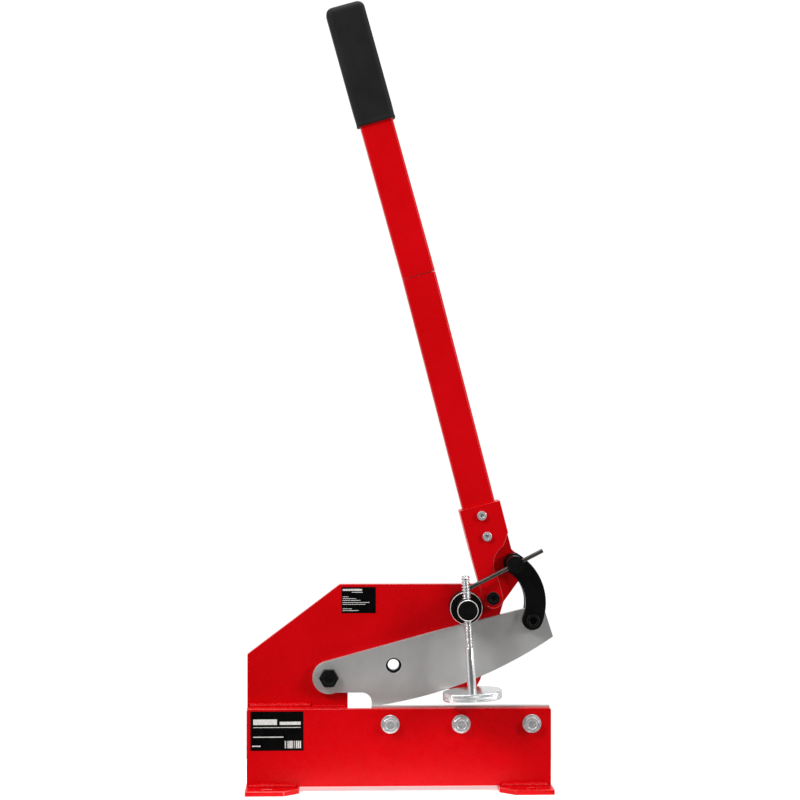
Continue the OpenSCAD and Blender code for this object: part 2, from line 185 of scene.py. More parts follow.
def rounded_copy(node, name, edge, segments=3):
    """A copy of a CAD node with its edges rounded by `edge` metres. The copy has two material
    slots: one for its faces, one for its roundings."""
    obj = mesh_object(name, merged_copy(node), 25)
    obj.data.materials.append(None)
    obj.data.materials.append(None)
    bevel = obj.modifiers.new("edges", "BEVEL")
    bevel.width = edge
    bevel.segments = segments
    bevel.limit_method = "ANGLE"
    bevel.material = 1
    bevel.angle_limit = math.radians(25)
    bevel.miter_outer = "MITER_ARC"
    obj = baked(obj)
    obj.data.polygons.foreach_set("use_smooth", [True] * len(obj.data.polygons))
    obj.data.set_sharp_from_angle(angle=math.radians(50))
    weighted = obj.modifiers.new("flat_faces", "WEIGHTED_NORMAL")
    weighted.keep_sharp = True
    weighted.weight = 100
    return baked(obj)


def placed(obj, matrix):
    """Moves a piece's mesh by a matrix, so that its object stays at the origin."""
    obj.data.transform(matrix)
    return obj


def middle(node):
    """The centre of a CAD node's box."""
    low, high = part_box(node)
    return (low + high) / 2


# ---- Base: front plate, upright, spacer, tie and feet ----
# Hot-rolled steel plate, flame cut and welded, then sprayed with a glossy red enamel. The
# roundings of the edges get a paler red enamel: a painted highlight, a pale line of light.

# Sprayed alkyd enamel: a deep glossy red with the faint orange peel of a spray gun
enamel, tree, bsdf, place = new_material("sprayed_red_enamel", Specular_IOR_Level=0.14)
mottle(tree, place, 0.09, "#CF0208", "#D8030E", bsdf.inputs["Base Color"])
peel = mottle(tree, place, 0.012, 0.24, 0.34, bsdf.inputs["Roughness"])
relief(tree, bsdf, peel.outputs["Fac"], 0.00006, 0.5)

# The same enamel, paler, for the roundings of the edges: a painted highlight along each edge
enamel_painted_edge_highlight, tree, bsdf, place = new_material("thin_enamel_on_edges", Specular_IOR_Level=0.5)
mottle(tree, place, 0.05, "#C8101A", "#F4706E", bsdf.inputs["Base Color"])
mottle(tree, place, 0.01, 0.2, 0.35, bsdf.inputs["Roughness"])

for node, edge in (
    ("front_plate", 0.9 * MM),
    ("upright_plate", 0.9 * MM),
    ("spacer_block", 0.5 * MM),
    ("tie_block", 0.5 * MM),
    ("left_foot", 1.2 * MM),
    ("right_foot", 1.2 * MM),
):
    piece = rounded_copy(node, node + "_painted", edge)
    finished(piece, node, "frame", enamel, enamel_painted_edge_highlight)

# ---- Weld beads ----
# Hand-laid arc welds in the corners, overpainted with the base. Each bead is a rope of metal
# with ripples a few millimetres apart and a width that wanders as the welder's hand does.


def new_tree(name, inputs):
    """A Geometry Nodes tree with inputs given as {name: kind of socket}. Returns the tree, the
    identifiers that a modifier sets the inputs by, and the outputs that its nodes read."""
    tree = bpy.data.node_groups.new(name, "GeometryNodeTree")
    identifiers = {}
    for label, kind in inputs.items():
        socket = tree.interface.new_socket(
            label, in_out="INPUT", socket_type="NodeSocket" + kind
        )
        identifiers[label] = socket.identifier
    tree.interface.new_socket("Geometry", in_out="OUTPUT", socket_type="NodeSocketGeometry")
    return tree, identifiers, add_node(tree, "NodeGroupInput").outputs


def finish_tree(tree, given, geometry):
    """Gives a tree's geometry the tree's material and sends it to the output."""
    real = add_node(tree, "GeometryNodeRealizeInstances", None, {"Geometry": geometry})
    coated = add_node(
        tree,
        "GeometryNodeSetMaterial",
        None,
        {"Geometry": real.outputs["Geometry"], "Material": given["Material"]},
    )
    add_node(tree, "NodeGroupOutput", None, {0: coated.outputs["Geometry"]})


bead_tree, bead_in, given = new_tree(
    "weld_bead",
    {
        "Start": "Vector",
        "End": "Vector",
        "Radius": "Float",
        "Ripple pitch": "Float",
        "Wander": "Float",
        "Step": "Float",
        "Seed": "Float",
        "Material": "Material",
    },
)
line = add_node(
    bead_tree,
    "GeometryNodeCurvePrimitiveLine",
    None,
    {"Start": given["Start"], "End": given["End"]},
)
fine = add_node(
    bead_tree,
    "GeometryNodeResampleCurve",
    {"mode": "LENGTH"},
    {"Curve": line.outputs["Curve"], "Length": given["Step"]},
)
along_bead = add_node(bead_tree, "GeometryNodeSplineParameter").outputs["Length"]
ripples = maths(bead_tree, "DIVIDE", along_bead, given["Ripple pitch"])
wave = maths(bead_tree, "SINE", maths(bead_tree, "MULTIPLY", ripples, 2 * math.pi))
unsteady = add_node(
    bead_tree,
    "ShaderNodeTexNoise",
    {"noise_dimensions": "4D", "Scale": 90.0, "Detail": 2.0},
    {"Vector": add_node(bead_tree, "GeometryNodeInputPosition").outputs[0], "W": given["Seed"]},
).outputs
rippled = maths(bead_tree, "MULTIPLY_ADD", wave, 0.07, 1.0)
uneven = remapped(bead_tree, unsteady["Fac"], (0.3, 0.7), (0.72, 1.18))
swell = maths(bead_tree, "MULTIPLY", rippled, uneven)
off = add_node(
    bead_tree,
    "ShaderNodeVectorMath",
    {"operation": "SUBTRACT", 1: (0.5, 0.5, 0.5)},
    {0: unsteady["Color"]},
)
swing = add_node(
    bead_tree,
    "ShaderNodeVectorMath",
    {"operation": "SCALE"},
    {0: off.outputs[0], "Scale": given["Wander"]},
)
wandering = add_node(
    bead_tree,
    "GeometryNodeSetPosition",
    None,
    {"Geometry": fine.outputs["Curve"], "Offset": swing.outputs[0]},
)
ring = add_node(
    bead_tree,
    "GeometryNodeCurvePrimitiveCircle",
    {"mode": "RADIUS", "Resolution": 14, "Radius": 1.0},
)
rope = add_node(
    bead_tree,
    "GeometryNodeCurveToMesh",
    {"Fill Caps": True},
    {
        "Curve": wandering.outputs["Geometry"],
        "Profile Curve": ring.outputs["Curve"],
        "Scale": maths(bead_tree, "MULTIPLY", swell, given["Radius"]),
    },
)
soft = add_node(
    bead_tree,
    "GeometryNodeSetShadeSmooth",
    {"Shade Smooth": True},
    {"Geometry": rope.outputs["Mesh"]},
)
finish_tree(bead_tree, given, soft.outputs["Geometry"])


def grown(name, tree_group, identifiers, values):
    """Runs a Geometry Nodes tree with these named inputs, and returns its plain mesh object."""
    obj = bpy.data.objects.new(name, bpy.data.meshes.new(name))
    bpy.context.scene.collection.objects.link(obj)
    modifier = obj.modifiers.new(name, "NODES")
    modifier.node_group = tree_group
    for key, value in values.items():
        modifier[identifiers[key]] = value
    return baked(obj)


def joined(name, objects):
    """One object from several, with their meshes merged into one."""
    bm = bmesh.new()
    for part in objects:
        bm.from_mesh(part.data)
    made = mesh_object(name, bm, 40)
    for material in objects[0].data.materials:
        made.data.materials.append(material)
    for part in objects:
        bpy.data.objects.remove(part)
    return made


front_lo, front_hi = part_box("front_plate")
up_lo, up_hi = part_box("upright_plate")
spacer_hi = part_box("spacer_block")[1]
left_foot_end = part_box("left_foot")[1].x
right_foot_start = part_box("right_foot")[0].x
inset = 0.9 * MM
foot_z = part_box("left_foot")[1].z + inset
ledge_y = up_lo.y - inset
gap = 4 * MM

# Each seam is a start, an end, a radius and how far the bead wanders
seams = [
    # Along the spacer, in front of the upright: a full bead, then a thin one to the spacer's end
    ((front_lo.x + 3 * MM, ledge_y, spacer_hi.z + inset),
     (spacer_hi.x - 52 * MM, ledge_y, spacer_hi.z + inset), 4.4 * MM, 2.0 * MM),
    ((spacer_hi.x - 50 * MM, ledge_y, spacer_hi.z),
     (spacer_hi.x - gap, ledge_y, spacer_hi.z), 2.2 * MM, 0.6 * MM),
]
# Along both feet, in front of the front plate and behind the upright
for y, plate_end, radius, wander in (
    (front_lo.y - inset, front_hi.x, 4.2 * MM, 3.0 * MM),
    (up_hi.y + inset, up_hi.x, 3.8 * MM, 2.0 * MM),
):
    for start_x, end_x in (
        (front_lo.x + gap, left_foot_end - 5 * MM),
        (right_foot_start + 5 * MM, plate_end - gap),
    ):
        seams.append(((start_x, y, foot_z), (end_x, y, foot_z), radius, wander))

beads = []
for count, (start, end, radius, wander) in enumerate(seams):
    beads.append(
        grown(
            f"bead_{count}",
            bead_tree,
            bead_in,
            {
                "Start": start,
                "End": end,
                "Radius": radius,
                "Ripple pitch": 2.6 * MM,
                "Wander": wander,
                "Step": 0.5 * MM,
                "Seed": 3.0 + count,
                "Material": enamel,
            },
        )
    )
finished(joined("weld_bead_run", beads), "weld_beads", "frame", enamel)

# ---- Labels ----
# Two black vinyl stickers on the paint, printed white: a rule, plain bars where the words
# would stand, and a striped block. They carry no lettering.

vinyl, tree, bsdf, place = new_material("gloss_black_vinyl", Specular_IOR_Level=0.1)
mottle(tree, place, 0.012, "#040404", "#080808", bsdf.inputs["Base Color"])
mottle(tree, place, 0.004, 0.28, 0.4, bsdf.inputs["Roughness"])
ink, tree, bsdf, place = new_material("white_screen_ink")
mottle(tree, place, 0.003, "#D9D9D6", "#ECECE9", bsdf.inputs["Base Color"])
mottle(tree, place, 0.001, 0.45, 0.6, bsdf.inputs["Roughness"])


def box_into(bm, low, high, material_index=0):
    """Adds a box between two corners to a bmesh."""
    made = bmesh.ops.create_cube(bm, size=1.0)
    verts = made["verts"]
    centre = (Vector(low) + Vector(high)) / 2
    size = Vector(high) - Vector(low)
    for v in verts:
        v.co = centre + Vector(a * b for a, b in zip(v.co, size))
    for face in {f for v in verts for f in v.link_faces}:
        face.material_index = material_index


def sticker(node, marks):
    """A film with raised ink. A mark is (left, right, bottom, top) as shares of the film."""
    low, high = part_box(node)
    ink_depth = 0.04 * MM
    bm = bmesh.new()
    box_into(bm, (low.x, low.y + ink_depth, low.z), high)
    width, height = high.x - low.x, high.z - low.z
    for left, right, bottom, top in marks:
        box_into(
            bm,
            (low.x + left * width, low.y, low.z + bottom * height),
            (low.x + right * width, low.y + 2 * ink_depth, low.z + top * height),
            1,
        )
    obj = mesh_object(node + "_film", bm, 30)
    obj.data.materials.append(vinyl)
    obj.data.materials.append(ink)
    finished(obj, node, "frame")


stripe_edges = [0.65, 0.665, 0.69, 0.70, 0.715, 0.74, 0.75, 0.78, 0.79, 0.805, 0.83, 0.84, 0.86,
                0.885, 0.895, 0.92, 0.93, 0.955]
sticker(
    "base_label",
    [(0.05, 0.95, 0.585, 0.60), (0.05, 0.50, 0.66, 0.80), (0.55, 0.95, 0.66, 0.74),
     (0.05, 0.62, 0.335, 0.36), (0.03, 0.19, 0.10, 0.13)]
    + [(a, b, 0.06, 0.25) for a, b in zip(stripe_edges[::2], stripe_edges[1::2])],
)
sticker(
    "upright_label",
    [(0.03, 0.60, 0.86, 0.93), (0.30, 0.62, 0.79, 0.815), (0.03, 0.20, 0.62, 0.64),
     (0.03, 0.42, 0.55, 0.57), (0.03, 0.55, 0.48, 0.50), (0.03, 0.82, 0.40, 0.42),
     (0.03, 0.70, 0.33, 0.35), (0.03, 0.30, 0.16, 0.18), (0.03, 0.50, 0.09, 0.11)],
)

# ---- Lower blade ----
# A bar of hardened tool steel, surface ground, held by three flanged bolts so that its cutting
# edge stands a little above the front plate.

# Ground tool steel: fine grinding lines along the blade and a satin, slightly blotchy shine.
# Real grinding lines are about 0.05 mm apart; they are drawn 0.5 mm apart so that they show.
ground, tree, bsdf, place = new_material("ground_tool_steel", Metallic=0.6)
mottle(tree, place, 0.07, "#D0D0CE", "#E2E2E0", bsdf.inputs["Base Color"], detail=4.0)
lines = mottle(
    tree, place, 0.0005, 0.3, 0.42, bsdf.inputs["Roughness"], stretch=(0.02, 1.0, 1.0), detail=2.0
)
relief(tree, bsdf, lines.outputs["Fac"], 0.00001, 0.35)

finished(
    rounded_copy("lower_blade", "lower_blade_ground", 0.35 * MM), "lower_blade", "frame",
    ground,
)

# ---- Flanged bolts of the lower blade ----
# Three zinc-plated M12 flange bolts: a cold-headed hexagon with a dished top and a washer face,
# one every 99 mm along the blade.

# Bright zinc plating: a pale mirror that is a little cloudy, with grain a few millimetres wide
zinc, tree, bsdf, place = new_material("bright_zinc_plate", Metallic=0.9)
mottle(tree, place, 0.004, "#DADCDD", "#ECEDEE", bsdf.inputs["Base Color"])
cloud = mottle(tree, place, 0.0015, 0.12, 0.22, bsdf.inputs["Roughness"])
relief(tree, bsdf, cloud.outputs["Fac"], 0.00001, 0.2)

# The same plating on cold-headed bolts: greyer and more matt, because it is over a rough forging
dull_zinc, tree, bsdf, place = new_material("dull_zinc_plate", Metallic=0.65)
mottle(tree, place, 0.003, "#D0D2D4", "#E4E5E6", bsdf.inputs["Base Color"])
mottle(tree, place, 0.001, 0.24, 0.36, bsdf.inputs["Roughness"])


def turned_mesh(name, profile, steps=72, sharp=32):
    """A closed piece turned about Z. The profile is (radius, height) or (radius, height, flats)
    from the bottom up, in millimetres; flats is a hexagon that the radius is kept inside."""
    bm = bmesh.new()
    rows = []
    for radius, height, *flats in profile:
        if radius == 0:
            rows.append([bm.verts.new((0, 0, height * MM))])
            continue
        row = []
        for step in range(steps):
            angle = 2 * math.pi * step / steps
            reach = radius
            if flats:
                side = (angle % (math.pi / 3)) - math.pi / 6
                reach = min(radius, flats[0] / 2 / math.cos(side))
            spot = (reach * math.cos(angle), reach * math.sin(angle), height)
            row.append(bm.verts.new([MM * value for value in spot]))
        rows.append(row)
    for low, high in zip(rows, rows[1:]):
        for i in range(steps):
            j = (i + 1) % steps
            if len(low) == 1 and len(high) > 1:
                bm.faces.new((low[0], high[j], high[i]))
            elif len(high) == 1 and len(low) > 1:
                bm.faces.new((low[i], low[j], high[0]))
            elif len(low) > 1:
                bm.faces.new((low[i], low[j], high[j], high[i]))
    if len(rows[0]) > 1:
        if len(rows[-1]) > 1:
            for i in range(steps):
                j = (i + 1) % steps
                bm.faces.new((rows[-1][i], rows[-1][j], rows[0][j], rows[0][i]))
    bmesh.ops.dissolve_degenerate(bm, dist=1e-8, edges=bm.edges)
    return mesh_object(name, bm, sharp)


def facing(x, y, z, back=False):
    """Places a turned piece with its axis along Y: towards the front, or towards the back."""
    way = 1 if back else -1
    return Matrix(((1, 0, 0, x), (0, 0, way, y), (0, -way, 0, z), (0, 0, 0, 1)))



def turned_part(name, profile, at, node, body, material, back=False, steps=72):
    """A turned piece placed at (x, y, z) with its axis along Y, and finished."""
    piece = placed(turned_mesh(name, profile, steps), facing(*at, back))
    return finished(piece, node, body, material)


row_tree, row_in, given = new_tree(
    "bolt_row",
    {
        "Bolt": "Object",
        "First": "Vector",
        "Step": "Vector",
        "Count": "Int",
        "Least turn": "Vector",
        "Most turn": "Vector",
        "Seed": "Int",
        "Material": "Material",
    },
)
spots = add_node(
    row_tree,
    "GeometryNodeMeshLine",
    {"mode": "OFFSET"},
    {"Count": given["Count"], "Start Location": given["First"], "Offset": given["Step"]},
)
bolt_shape = add_node(row_tree, "GeometryNodeObjectInfo", None, {"Object": given["Bolt"]})
spin = add_node(
    row_tree,
    "FunctionNodeRandomValue",
    {"data_type": "FLOAT_VECTOR"},
    {0: given["Least turn"], 1: given["Most turn"], "Seed": given["Seed"]},
)
row_of = add_node(
    row_tree,
    "GeometryNodeInstanceOnPoints",
    None,
    {
        "Points": spots.outputs["Mesh"],
        "Instance": bolt_shape.outputs["Geometry"],
        "Rotation": spin.outputs[0],
    },
)
finish_tree(row_tree, given, row_of.outputs["Instances"])


def bolt_row(name, shape, first, step, count, seed, material, turn_by=math.pi):
    """Repeats a bolt that is turned about Y by a different angle at each hole."""
    row = grown(
        name,
        row_tree,
        row_in,
        {
            "Bolt": shape,
            "First": first,
            "Step": step,
            "Count": count,
            "Least turn": (0.0, -turn_by, 0.0),
            "Most turn": (0.0, turn_by, 0.0),
            "Seed": seed,
            "Material": material,
        },
    )
    row.data.set_sharp_from_angle(angle=math.radians(32))
    bpy.data.objects.remove(shape)
    return row


flange_d = 26 * MM
bolts_lo, bolts_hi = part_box("blade_bolts")
flange_bolt = placed(
    turned_mesh(
        "flange_bolt",
        [(0, -18.4), (5.4, -18.4), (6, -17.8), (6, 0), (12.6, 0), (13, 0.4), (13, 1.3), (12.6, 1.8),
         (10.9, 2.6, 18.2), (10.6, 2.9, 18), (10.6, 8.6, 18), (9.9, 9.6, 18), (9.1, 10.0, 18),
         (6.9, 10.0), (6.4, 9.7), (5.9, 8.9), (0, 8.6)],
        96,
    ),
    facing(0, front_lo.y, 0),
)
bolt_pitch = (bolts_hi.x - bolts_lo.x - flange_d) / 2
finished(
    bolt_row(
        "blade_bolt_row",
        flange_bolt,
        (bolts_lo.x + flange_d / 2, 0.0, (bolts_lo.z + bolts_hi.z) / 2),
        (bolt_pitch, 0.0, 0.0),
        3,
        4,
        dull_zinc,
    ),
    "blade_bolts", "frame", dull_zinc,
)

# ---- Blade pivot ----
# An M16 hexagon bolt through a bush in the blade's tail, with a washer and a lock nut behind
# the upright. Bolt and nut are blackened.

# Black oxide on steel: near black, with a soft oily shine that varies over a few millimetres
blackened, tree, bsdf, place = new_material(
    "black_oxide_steel", Metallic=0.35, Specular_IOR_Level=0.25
)
mottle(tree, place, 0.006, "#0A0A0A", "#141413", bsdf.inputs["Base Color"])
grime = mottle(tree, place, 0.0012, 0.3, 0.48, bsdf.inputs["Roughness"])
relief(tree, bsdf, grime.outputs["Fac"], 0.00003, 0.4)

# Turned mild steel, left bare: fine rings of tool marks a third of a millimetre apart
bare, tree, bsdf, place = new_material("turned_bare_steel", Metallic=1.0)
mottle(tree, place, 0.005, "#56534F", "#6B6864", bsdf.inputs["Base Color"])
marks = mottle(tree, place, 0.0003, 0.3, 0.44, bsdf.inputs["Roughness"], stretch=(0.1, 1.0, 1.0))
relief(tree, bsdf, marks.outputs["Fac"], 0.00001, 0.3)


def hex_head(flats, height, dish, shank, length):
    """Profile of a hexagon bolt from its shank's end up to its dished head."""
    corner = flats / math.sqrt(3)
    return [
        (0, -length), (shank - 0.8, -length), (shank, -length + 0.8), (shank, 0),
        (flats * 0.47, 0), (flats * 0.48, 0.4), (corner, 0.6, flats), (corner, height * 0.8, flats),
        (flats * 0.53, height * 0.93, flats), (flats * 0.47, height), (dish + 0.4, height),
        (dish, height - 0.5), (dish - 0.6, height - 0.9), (0, height - 1.1),
    ]


def nut(flats, bore, height):
    """Profile of a hexagon nut with its corners taken off at both faces."""
    corner = flats / math.sqrt(3)
    return [
        (bore, 0.6), (bore + 0.5, 0), (flats * 0.47, 0), (flats * 0.53, 0.5, flats),
        (corner, 1.4, flats), (corner, height - 1.4, flats), (flats * 0.53, height - 0.5, flats),
        (flats * 0.47, height), (bore + 0.5, height), (bore, height - 0.6),
    ]


def washer(outer, bore, thickness):
    """Profile of a washer or bush with its outer corners taken off."""
    return [
        (bore, 0), (outer - 0.3, 0), (outer, 0.3), (outer, thickness - 0.3),
        (outer - 0.3, thickness), (bore, thickness),
    ]


pivot = middle("blade_pivot_bush")
back = up_hi.y
washer_t = 3
turned_part(
    "blade_pivot_hex_bolt",
    hex_head(flats=24, height=10, dish=8.2, shank=8, length=41.6),
    (pivot.x, 0, pivot.z),
    "blade_pivot_bolt", "frame", blackened,
)
turned_part(
    "blade_pivot_bearing",
    washer(outer=11, bore=8.05, thickness=10.6),
    (pivot.x, 0, pivot.z),
    "blade_pivot_bush", "frame", bare, True,
)
turned_part(
    "blade_pivot_shim",
    washer(outer=15, bore=8.05, thickness=washer_t),
    (pivot.x, back, pivot.z),
    "blade_pivot_washer", "frame", zinc, True,
)
turned_part(
    "blade_pivot_hex_nut",
    nut(flats=24, bore=8, height=13),
    (pivot.x, back + washer_t * MM, pivot.z),
    "blade_pivot_nut", "frame", blackened, True,
)

# ---- Bar hole insert ----
# A hardened, blackened ring pressed in the upright behind the upper blade's round hole. A bar
# is pushed through both and is sheared between the ring and the blade.

ring_at = middle("bar_hole_insert")
ring_t = (up_hi.y - up_lo.y) / MM
turned_part(
    "bar_cutting_ring",
    [(8, 0.3), (8.3, 0), (12.7, 0), (13, 0.3), (13, ring_t - 0.3), (12.7, ring_t),
     (8.3, ring_t), (8, ring_t - 0.3)],
    (ring_at.x, up_lo.y, ring_at.z),
    "bar_hole_insert", "frame", blackened, True,
)

# ---- Upper blade ----
# Ground tool steel like the lower one, with a convex cutting edge, a round hole that shears
# bar, and a pressed bush in the eye that the links pull on.

finished(
    rounded_copy("upper_blade", "upper_blade_ground", 0.45 * MM), "upper_blade", "upper_blade",
    ground,
)
low_pin = middle("link_pin_bush")
turned_part(
    "upper_blade_eye_bush",
    washer(outer=9, bore=6.05, thickness=10),
    (low_pin.x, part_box("upper_blade")[0].y, low_pin.z),
    "link_pin_bush", "upper_blade", bare, True,
)

# ---- Lever socket ----
# Four plates bolted in a stack: a front plate, a thick core, the ear plate that carries the
# links, and a short back plate. The core and the ear plate are forked round the tube.

# Their edge roundings get the paler enamel: a painted highlight along each edge
for node in ("lever_front_plate", "lever_core_plate", "lever_ear_plate", "lever_back_plate"):
    finished(
        rounded_copy(node, node + "_painted", 0.7 * MM), node, "lever", enamel,
        enamel_painted_edge_highlight,
    )

# ---- Lever pivot ----
# A blackened M12 shoulder bolt that turns in a bush between the lever's plates and the upright.

play = 0.3 * MM
swing_axis = middle("lever_pivot_bush")
socket_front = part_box("lever_front_plate")[0].y
socket_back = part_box("lever_back_plate")[1].y
shim_t = 2.5


def socket_head(radius, height, flats, shank, length):
    """Profile of a cap screw with a hexagon socket in a rounded cylindrical head."""
    return [
        (0, -length), (shank - 0.6, -length), (shank, -length + 0.6), (shank, 0), (radius - 0.2, 0),
        (radius, 0.2), (radius, height - 0.9), (radius - 0.3, height - 0.3), (radius - 0.9, height),
        (flats * 0.62, height), (flats, height - 0.5, flats), (flats, height * 0.45, flats),
        (0, height * 0.38),
    ]


turned_part(
    "lever_pivot_cap_bolt",
    socket_head(radius=9, height=5, flats=8, shank=6, length=57.9),
    (swing_axis.x, socket_front - play, swing_axis.z),
    "lever_pivot_bolt", "frame", blackened,
)
turned_part(
    "lever_pivot_bearing",
    washer(outer=9, bore=6.05, thickness=31.9),
    (swing_axis.x, socket_front - play, swing_axis.z),
    "lever_pivot_bush", "frame", bare, True,
)
turned_part(
    "lever_pivot_shim",
    washer(outer=12, bore=6.05, thickness=shim_t),
    (swing_axis.x, back, swing_axis.z),
    "lever_pivot_washer", "frame", zinc, True,
)
turned_part(
    "lever_pivot_hex_nut",
    nut(flats=18, bore=6, height=10),
    (swing_axis.x, back + shim_t * MM, swing_axis.z),
    "lever_pivot_nut", "frame", blackened, True,
)

# ---- Socket bolts ----
# Two zinc-plated M8 cap screws clamp the socket's plates on the tube, with nuts at the back.

cap_r = 6.5 * MM
screws_lo, screws_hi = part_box("socket_bolts")
first_screw = (screws_hi.x - cap_r, 0.0, screws_lo.z + cap_r)
to_next = (
    screws_lo.x + cap_r - first_screw[0],
    0.0,
    screws_hi.z - cap_r - first_screw[2],
)
cap_screw = placed(
    turned_mesh(
        "cap_screw", socket_head(radius=6.5, height=5, flats=5.6, shank=4, length=46.3), 60
    ),
    facing(0, socket_front, 0),
)
finished(
    bolt_row("socket_cap_screws", cap_screw, first_screw, to_next, 2, 9, dull_zinc),
    "socket_bolts", "lever", dull_zinc,
)
clamp_nut = placed(
    turned_mesh("clamp_nut", nut(flats=13, bore=4, height=6.5), 60), facing(0, socket_back, 0, True)
)
finished(
    bolt_row("socket_hex_nuts", clamp_nut, first_screw, to_next, 2, 2, zinc, 0.4),
    "socket_nuts", "lever", zinc,
)

# ---- Handle ----
# Two lengths of welded oval-cornered steel tube with a tube joiner inside, painted like the
# base. A thin dark gap shows where they meet.

# Their edge roundings get the paler enamel: a painted highlight along each edge
for node in ("lower_tube", "upper_tube"):
    finished(
        rounded_copy(node, node + "_painted", 0.35 * MM, 2), node, "lever", enamel,
        enamel_painted_edge_highlight,
    )
finished(
    rounded_copy("tube_joiner", "tube_joiner_sleeve", 0.2 * MM, 1), "tube_joiner", "lever",
    bare,
)
plug_black, tree, bsdf, place = new_material("moulded_black_plastic")
mottle(tree, place, 0.01, "#151515", "#1C1C1C", bsdf.inputs["Base Color"])
mottle(tree, place, 0.001, 0.5, 0.62, bsdf.inputs["Roughness"])
finished(
    rounded_copy("tube_end_plug", "tube_end_stopper", 0.4 * MM, 1), "tube_end_plug", "lever",
    plug_black,
)

# ---- Grip ----
# A dipped rubber sleeve pulled over the tube's end: matt black, its end rounded over, its mouth
# a slightly thicker lip.

# Moulded rubber: charcoal with a fine dry grain about half a millimetre wide
rubber, tree, bsdf, place = new_material("moulded_black_rubber", Specular_IOR_Level=0.25)
mottle(tree, place, 0.03, "#0C0D0C", "#151615", bsdf.inputs["Base Color"])
grain = mottle(tree, place, 0.0006, 0.58, 0.74, bsdf.inputs["Roughness"])
relief(tree, bsdf, grain.outputs["Fac"], 0.00008, 0.5)


def rounded_loop(width, depth, corner, steps=8):
    """Points of a rectangle with round corners, centred, anticlockwise."""
    points = []
    for quarter, (sx, sy) in enumerate(((1, 1), (-1, 1), (-1, -1), (1, -1))):
        for step in range(steps + 1):
            angle = math.pi / 2 * (quarter + step / steps)
            points.append(
                (
                    sx * (width / 2 - corner) + corner * math.cos(angle),
                    sy * (depth / 2 - corner) + corner * math.sin(angle),
                )
            )
    return points

lever_lean, joint_slack = 14.57, 1.0
lean = math.radians(lever_lean + joint_slack)
grip_axis = Vector((-math.sin(lean), 0, math.cos(lean)))
grip_side = Vector((math.cos(lean), 0, math.sin(lean)))
plug_len = 15 * MM
grip_len, grip_wall, tube_w, tube_d = 171 * MM, 4.2 * MM, 47 * MM, 25 * MM
grip_top = middle("tube_end_plug") + grip_axis * (plug_len / 2 + grip_wall)
grip_low = grip_top - grip_axis * grip_len
outer_w, outer_d = tube_w + 2 * grip_wall, tube_d + 2 * grip_wall
outer_corner, inner_corner = 8 * MM, 4 * MM
round_over = 10.5 * MM

# The sleeve's outside, as heights above its mouth and how far it stands out from the sleeve
levels = [(0.0, -0.5 * MM), (0.5 * MM, 0.0), (3.0 * MM, 0.0), (4.4 * MM, -0.35 * MM),
          (7 * MM, -0.35 * MM), (20 * MM, 0.0), (grip_len - 26 * MM, 0.0)]
for step in range(9):
    angle = math.pi / 2 * step / 8
    levels.append(
        (
            grip_len - round_over + round_over * math.sin(angle),
            round_over * (math.cos(angle) - 1) * 0.95,
        )
    )


def grip_ring(bm, height, width, depth, corner):
    """A ring of the grip's points at a height above its mouth."""
    centre = grip_low + grip_axis * height
    return [
        bm.verts.new(centre + grip_side * x + Vector((0, y, 0)))
        for x, y in rounded_loop(width, depth, corner)
    ]


bm = bmesh.new()
rings = []
for height, stand_out in levels:
    corner = max(1.2 * MM, outer_corner + stand_out * 0.6)
    width, depth = outer_w + 2 * stand_out, outer_d + 2 * stand_out
    rings.append(grip_ring(bm, height, width, depth, corner))
inner = [
    grip_ring(bm, height, tube_w, tube_d, inner_corner) for height in (0.0, grip_len - grip_wall)
]
for low, high in zip(rings, rings[1:]):
    for i in range(len(low)):
        j = (i + 1) % len(low)
        bm.faces.new((low[i], low[j], high[j], high[i]))
for i in range(len(inner[0])):
    j = (i + 1) % len(inner[0])
    bm.faces.new((inner[0][j], inner[0][i], inner[1][i], inner[1][j]))
    bm.faces.new((rings[0][j], rings[0][i], inner[0][i], inner[0][j]))
bm.faces.new(rings[-1])
bm.faces.new(list(reversed(inner[1])))
finished(mesh_object("grip_sleeve", bm, 60), "grip", "lever", rubber)

# ---- Links ----
# A pair of C-shaped straps cut from 10 mm plate, one each side of the ear plate and the blade.
# They are painted black and hang on the lock screw and on the low pin.

# Black stoving paint: glossy, with the plate's slight waviness showing in the shine
black_gloss, tree, bsdf, place = new_material("black_stoving_paint", Specular_IOR_Level=0.2)
mottle(tree, place, 0.02, "#060606", "#0B0B0A", bsdf.inputs["Base Color"])
waves = mottle(tree, place, 0.006, 0.28, 0.42, bsdf.inputs["Roughness"])
relief(tree, bsdf, waves.outputs["Fac"], 0.00008, 0.4)

for node in ("front_link", "rear_link"):
    finished(
        rounded_copy(node, node + "_strap", 0.9 * MM), node, "links", black_gloss
    )
links_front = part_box("front_link")[0].y
links_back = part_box("rear_link")[1].y
turned_part(
    "link_low_cap_screw",
    socket_head(radius=9, height=12, flats=10, shank=6, length=10),
    (low_pin.x, links_front, low_pin.z),
    "link_low_screw", "links", blackened,
)
turned_part(
    "link_low_hex_end",
    hex_head(flats=18, height=10, dish=6, shank=6, length=10),
    (low_pin.x, links_back, low_pin.z),
    "link_low_nut", "links", blackened, True,
)

# ---- Lock screw and tommy bar ----
# A blackened screw with a cross-drilled round head pins the links to the lever. A bare steel
# bar slides in the cross hole to turn it.

